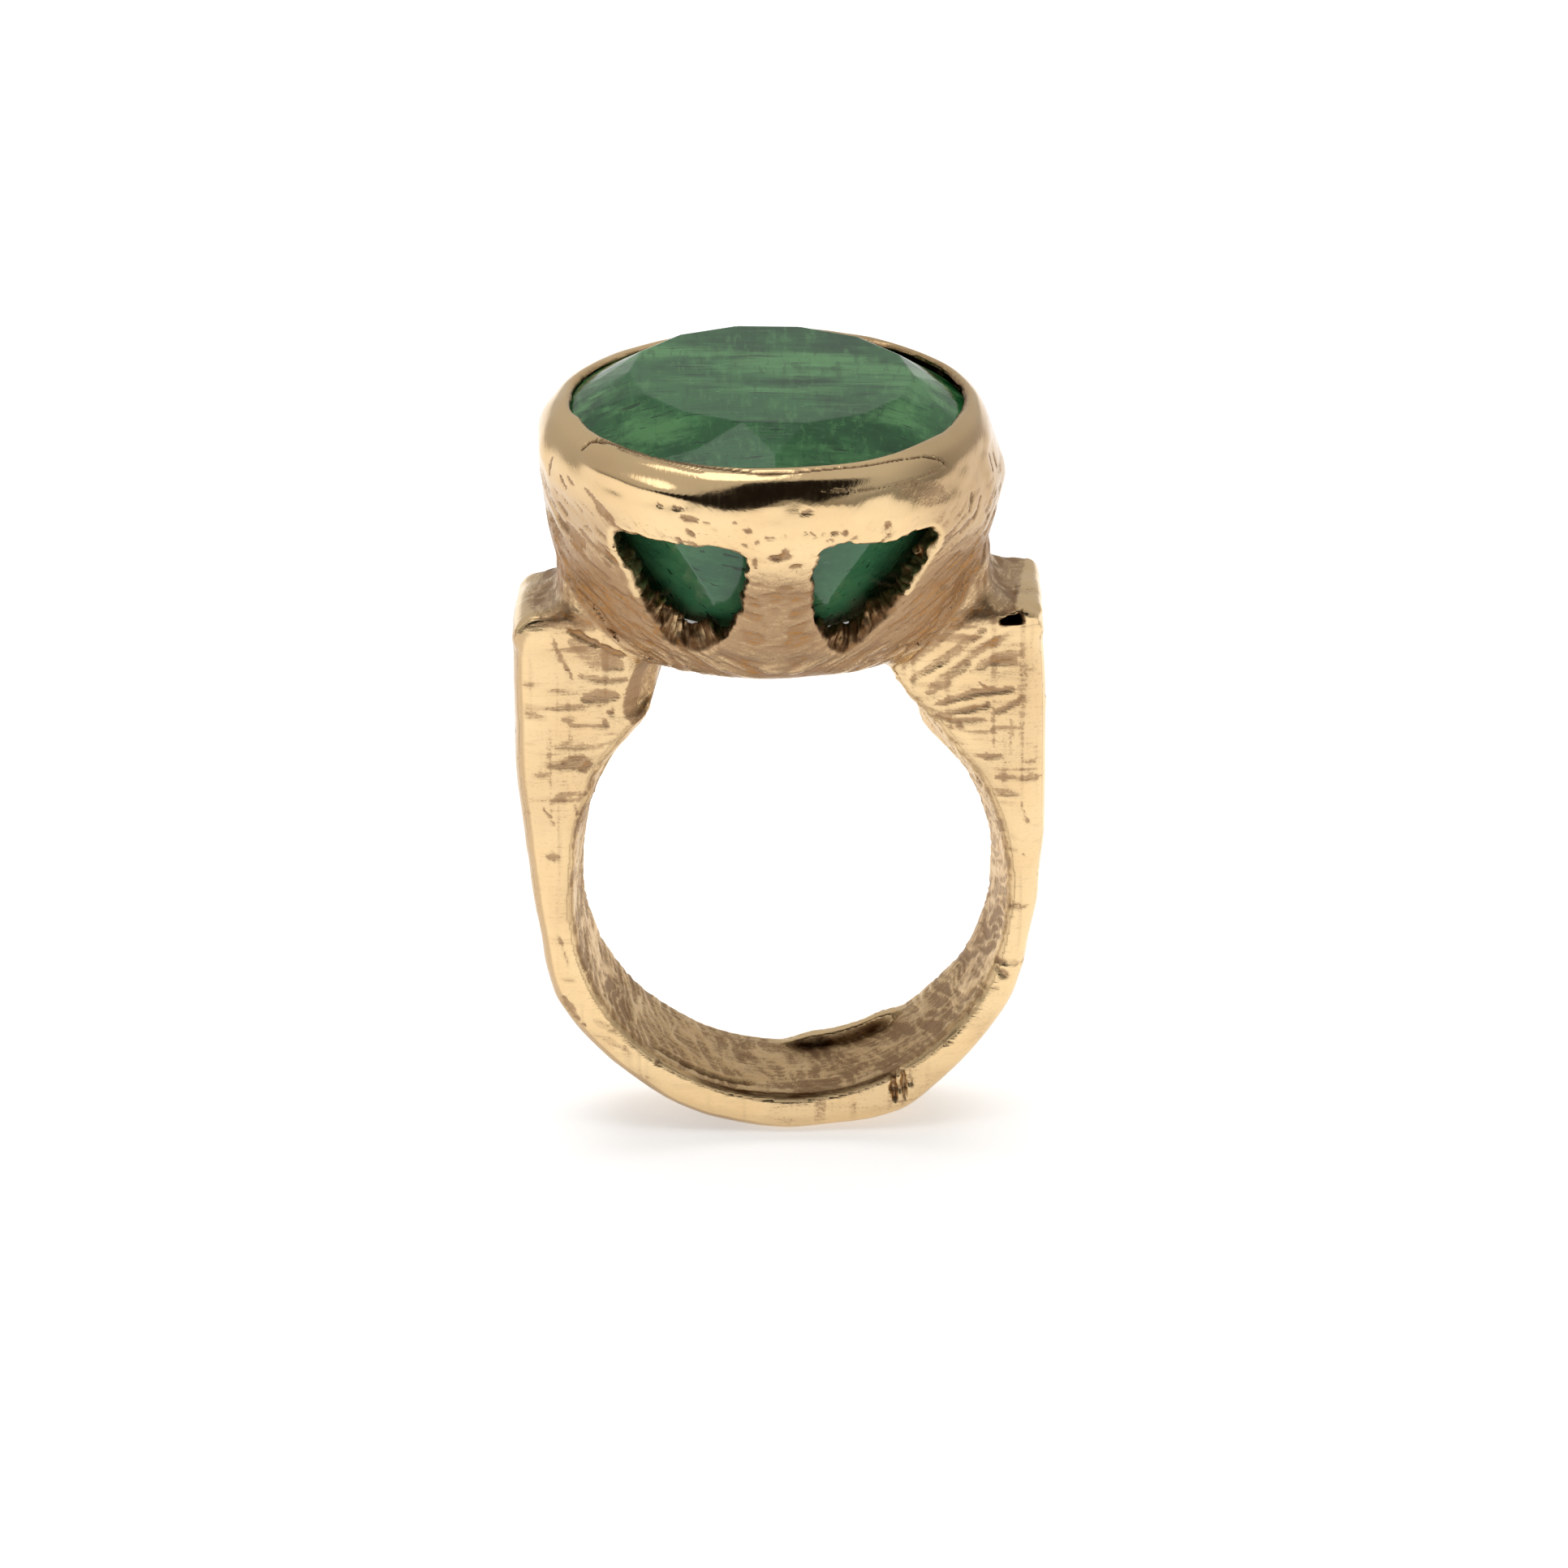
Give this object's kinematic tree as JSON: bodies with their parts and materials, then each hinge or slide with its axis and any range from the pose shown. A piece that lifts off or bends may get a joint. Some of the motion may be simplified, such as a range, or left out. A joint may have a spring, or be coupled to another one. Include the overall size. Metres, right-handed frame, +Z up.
{
  "type": "cocktail ring",
  "caption": "Finger ring with a hollow flat-sided shank, square shoulders and a pierced tapered cup whose rolled bezel holds a large oval faceted green stone.",
  "frame": {"origin": "centre of the round finger hole, midway between the front and back faces of the shank", "axes": "+Y along the finger hole from the front face to the back face, +Z up to the stone's table, +X to the right seen from the front"},
  "size_m": [0.0222, 0.0172, 0.0334],
  "materials": {
    "emerald": "faceted natural emerald, polished, with streaks and dark needles inside",
    "polished_gold": "pale yellow gold, hand polished, with file lines, nicks and pits",
    "worked_gold": "pale yellow gold, filed and gouged, satin, brown in the recesses",
    "hammered_gold": "matte hammered gold, brownish in the marks"
  },
  "bodies": {
    "root": {"emerald": "emerald", "bezel_collar": "polished_gold", "seat_ring": "polished_gold", "pierced_cup": "worked_gold", "outer_strip": "polished_gold", "finger_liner": "hammered_gold", "front_plate": "polished_gold", "back_plate": "polished_gold", "left_shoulder_cap": "worked_gold", "right_shoulder_cap": "worked_gold", "left_inner_ramp": "hammered_gold", "right_inner_ramp": "hammered_gold", "left_head_solder": "worked_gold", "right_head_solder": "worked_gold"}
  },
  "joints": []
}
